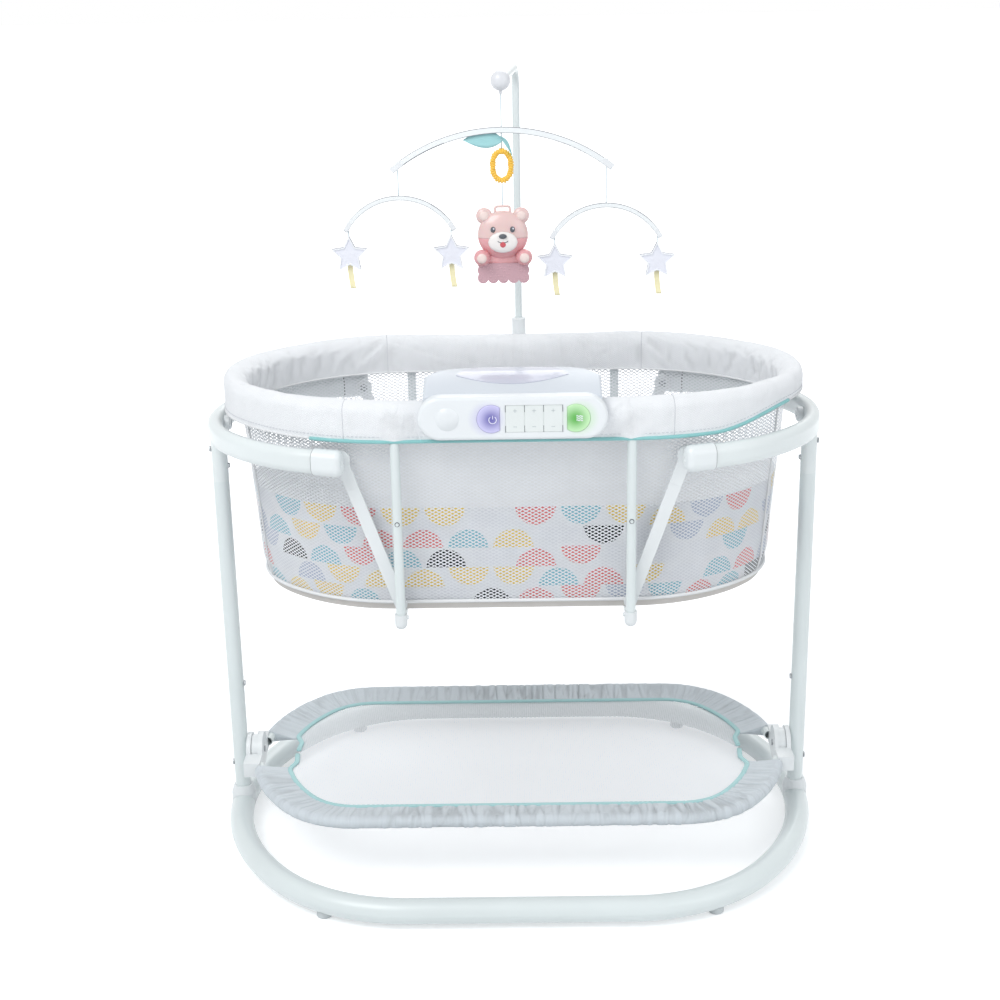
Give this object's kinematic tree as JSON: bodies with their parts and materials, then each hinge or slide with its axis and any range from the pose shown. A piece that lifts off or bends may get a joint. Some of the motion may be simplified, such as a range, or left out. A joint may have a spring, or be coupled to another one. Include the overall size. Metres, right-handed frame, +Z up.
{
  "type": "bassinet",
  "caption": "Swinging bassinet: padded oval net cradle hung by links between two C arms on an oval tube stand, with console, hanging mobile and folding net shelf.",
  "frame": {"origin": "centre of the stand on the floor", "axes": "+X along the cradle to the user's right, -Y towards the console side, +Z up"},
  "size_m": [0.9536, 0.722, 1.2035],
  "materials": {
    "white_steel": "white powder coat",
    "white_plastic": "smooth white moulding",
    "grey_plastic": "light grey moulding",
    "grey_rubber": "pale rubber",
    "zinc": "zinc plated",
    "dark_steel": "dark screw",
    "quilted_fabric": "pale grey padded cloth with a teal edge",
    "net_fabric": "white open net",
    "print_fabric": "white cloth printed with coloured triangles",
    "board": "covered fibre board",
    "pad_fabric": "white quilted cloth",
    "shelf_fabric": "grey sleeve cloth and white net",
    "clear_lens": "frosted lens",
    "violet_key": "violet lit key",
    "green_key": "green lit key",
    "white_key": "white key",
    "cell_sleeve": "dark shrink sleeve",
    "cord": "white string",
    "star_fabric": "silvery white padded cloth",
    "charm_rubber": "yellow ring and teal leaves",
    "pink_plastic": "pink moulding",
    "pink_rubber": "darker pink rubber"
  },
  "bodies": {
    "stand": {"base_tube_front": "white_steel", "base_tube_rear": "white_steel", "base_sockets": "white_plastic", "base_feet": "grey_rubber", "upright_left": "white_steel", "upright_right": "white_steel", "arm_left": "white_steel", "arm_right": "white_steel", "arm_caps": "white_plastic", "arm_bumpers": "white_plastic", "stand_bolts": "zinc", "link_upper_pins": "zinc", "shelf_tube_front": "white_steel", "shelf_forks": "white_plastic", "shelf_cover_front": "shelf_fabric"},
    "snap_left": {"upright_button_left": "zinc"},
    "snap_right": {"upright_button_right": "zinc"},
    "shelf_rear": {"shelf_tube_rear": "white_steel", "shelf_tongues": "white_plastic", "shelf_cover_rear": "shelf_fabric"},
    "link_fl": {"link_front_left": "white_plastic"},
    "link_fr": {"link_front_right": "white_plastic"},
    "link_rl": {"link_rear_left": "white_plastic"},
    "link_rr": {"link_rear_right": "white_plastic"},
    "cradle": {"rim_frame": "white_steel", "rim_cover": "quilted_fabric", "basket_wall": "net_fabric", "basket_liner": "print_fabric", "basket_floor": "board", "hoop_left": "white_steel", "hoop_right": "white_steel", "hoop_brackets": "white_plastic", "link_lower_pins": "zinc", "console_front": "white_plastic", "console_back": "white_plastic", "console_lens": "clear_lens", "console_batteries": "cell_sleeve", "mobile_clamp": "white_plastic", "mobile_pole": "white_steel", "mobile_ball": "white_plastic", "mobile_cord": "cord"},
    "pad": {"mattress_pad": "pad_fabric"},
    "power_key": {"console_power_button": "violet_key"},
    "mode_key": {"console_mode_button": "green_key"},
    "rocker_left": {"console_rocker_left": "white_key"},
    "rocker_middle": {"console_rocker_middle": "white_key"},
    "rocker_right": {"console_rocker_right": "white_key"},
    "mobile": {"mobile_bar": "white_plastic", "mobile_charms": "charm_rubber", "arc_cord_left": "cord", "arc_cord_right": "cord", "bear_cord": "cord"},
    "arc_left": {"mobile_arc_left": "white_plastic"},
    "arc_right": {"mobile_arc_right": "white_plastic"},
    "star_a": {"star_1": "star_fabric"},
    "star_b": {"star_2": "star_fabric"},
    "star_c": {"star_3": "star_fabric"},
    "star_d": {"star_4": "star_fabric"},
    "toy": {"bear": "pink_plastic", "bear_blanket": "pink_rubber"}
  },
  "joints": [
    {"name": "sway", "type": "hinge", "parent": "stand", "child": "link_fl", "pos_m": [-0.247, -0.2015, 0.68], "axis": [0, 1, 0], "range_deg": [-3, 3]},
    {"name": "link_front_right_swing", "type": "hinge", "parent": "stand", "child": "link_fr", "pos_m": [0.247, -0.2015, 0.68], "axis": [0, 1, 0], "range_deg": [-3.2, 3.2]},
    {"name": "link_rear_left_swing", "type": "hinge", "parent": "stand", "child": "link_rl", "pos_m": [-0.247, 0.2015, 0.68], "axis": [0, 1, 0], "range_deg": [-3.2, 3.2]},
    {"name": "link_rear_right_swing", "type": "hinge", "parent": "stand", "child": "link_rr", "pos_m": [0.247, 0.2015, 0.68], "axis": [0, 1, 0], "range_deg": [-3.2, 3.2]},
    {"name": "cradle_swing", "type": "hinge", "parent": "link_fl", "child": "cradle", "pos_m": [-0.168, -0.2015, 0.455], "axis": [0, 1, 0], "range_deg": [-4.7, 4.7]},
    {"name": "snap_left_press", "type": "slide", "parent": "stand", "child": "snap_left", "axis": [-1, 0, 0], "range_m": [0, 0.003], "stiffness_N_per_m": 600},
    {"name": "snap_right_press", "type": "slide", "parent": "stand", "child": "snap_right", "axis": [1, 0, 0], "range_m": [0, 0.003], "stiffness_N_per_m": 600},
    {"name": "shelf_fold", "type": "hinge", "parent": "stand", "child": "shelf_rear", "pos_m": [0, 0, 0.121], "axis": [1, 0, 0], "range_deg": [0, 75]},
    {"name": "pad_lift", "type": "slide", "parent": "cradle", "child": "pad", "axis": [0, 0, 1], "range_m": [0, 0.15]},
    {"name": "power_press", "type": "slide", "parent": "cradle", "child": "power_key", "axis": [0, 1, 0], "range_m": [0, 0.0015], "stiffness_N_per_m": 400},
    {"name": "mode_press", "type": "slide", "parent": "cradle", "child": "mode_key", "axis": [0, 1, 0], "range_m": [0, 0.0015], "stiffness_N_per_m": 400},
    {"name": "rocker_left_tilt", "type": "hinge", "parent": "cradle", "child": "rocker_left", "pos_m": [0.0031, -0.2492, 0.75], "axis": [1, 0, 0], "range_deg": [-2.5, 2.5], "stiffness_Nm_per_rad": 0.05},
    {"name": "rocker_middle_tilt", "type": "hinge", "parent": "cradle", "child": "rocker_middle", "pos_m": [0.0295, -0.2492, 0.75], "axis": [1, 0, 0], "range_deg": [-2.5, 2.5], "stiffness_Nm_per_rad": 0.05},
    {"name": "rocker_right_tilt", "type": "hinge", "parent": "cradle", "child": "rocker_right", "pos_m": [0.0559, -0.2492, 0.75], "axis": [1, 0, 0], "range_deg": [-2.5, 2.5], "stiffness_Nm_per_rad": 0.05},
    {"name": "mobile_spin", "type": "hinge", "parent": "cradle", "child": "mobile", "pos_m": [-0.011, -0.035, 1.12], "axis": [0, 0, 1], "continuous": true},
    {"name": "arc_left_spin", "type": "hinge", "parent": "mobile", "child": "arc_left", "pos_m": [-0.162, -0.035, 1.025], "axis": [0, 0, 1], "continuous": true},
    {"name": "arc_right_spin", "type": "hinge", "parent": "mobile", "child": "arc_right", "pos_m": [0.14, -0.035, 1.01], "axis": [0, 0, 1], "continuous": true},
    {"name": "star_a_spin", "type": "hinge", "parent": "arc_left", "child": "star_a", "pos_m": [-0.237, -0.035, 0.943], "axis": [0, 0, 1], "continuous": true},
    {"name": "star_b_spin", "type": "hinge", "parent": "arc_left", "child": "star_b", "pos_m": [-0.087, -0.035, 0.943], "axis": [0, 0, 1], "continuous": true},
    {"name": "star_c_spin", "type": "hinge", "parent": "arc_right", "child": "star_c", "pos_m": [0.065, -0.035, 0.928], "axis": [0, 0, 1], "continuous": true},
    {"name": "star_d_spin", "type": "hinge", "parent": "arc_right", "child": "star_d", "pos_m": [0.215, -0.035, 0.928], "axis": [0, 0, 1], "continuous": true},
    {"name": "toy_spin", "type": "hinge", "parent": "mobile", "child": "toy", "pos_m": [-0.011, -0.035, 0.969], "axis": [0, 0, 1], "continuous": true}
  ],
  "couplings": [
    {"joint": "link_front_right_swing", "follows": "sway", "ratio": 1},
    {"joint": "link_rear_left_swing", "follows": "sway", "ratio": 1},
    {"joint": "link_rear_right_swing", "follows": "sway", "ratio": 1},
    {"joint": "cradle_swing", "follows": "sway", "ratio": -1.4711}
  ]
}
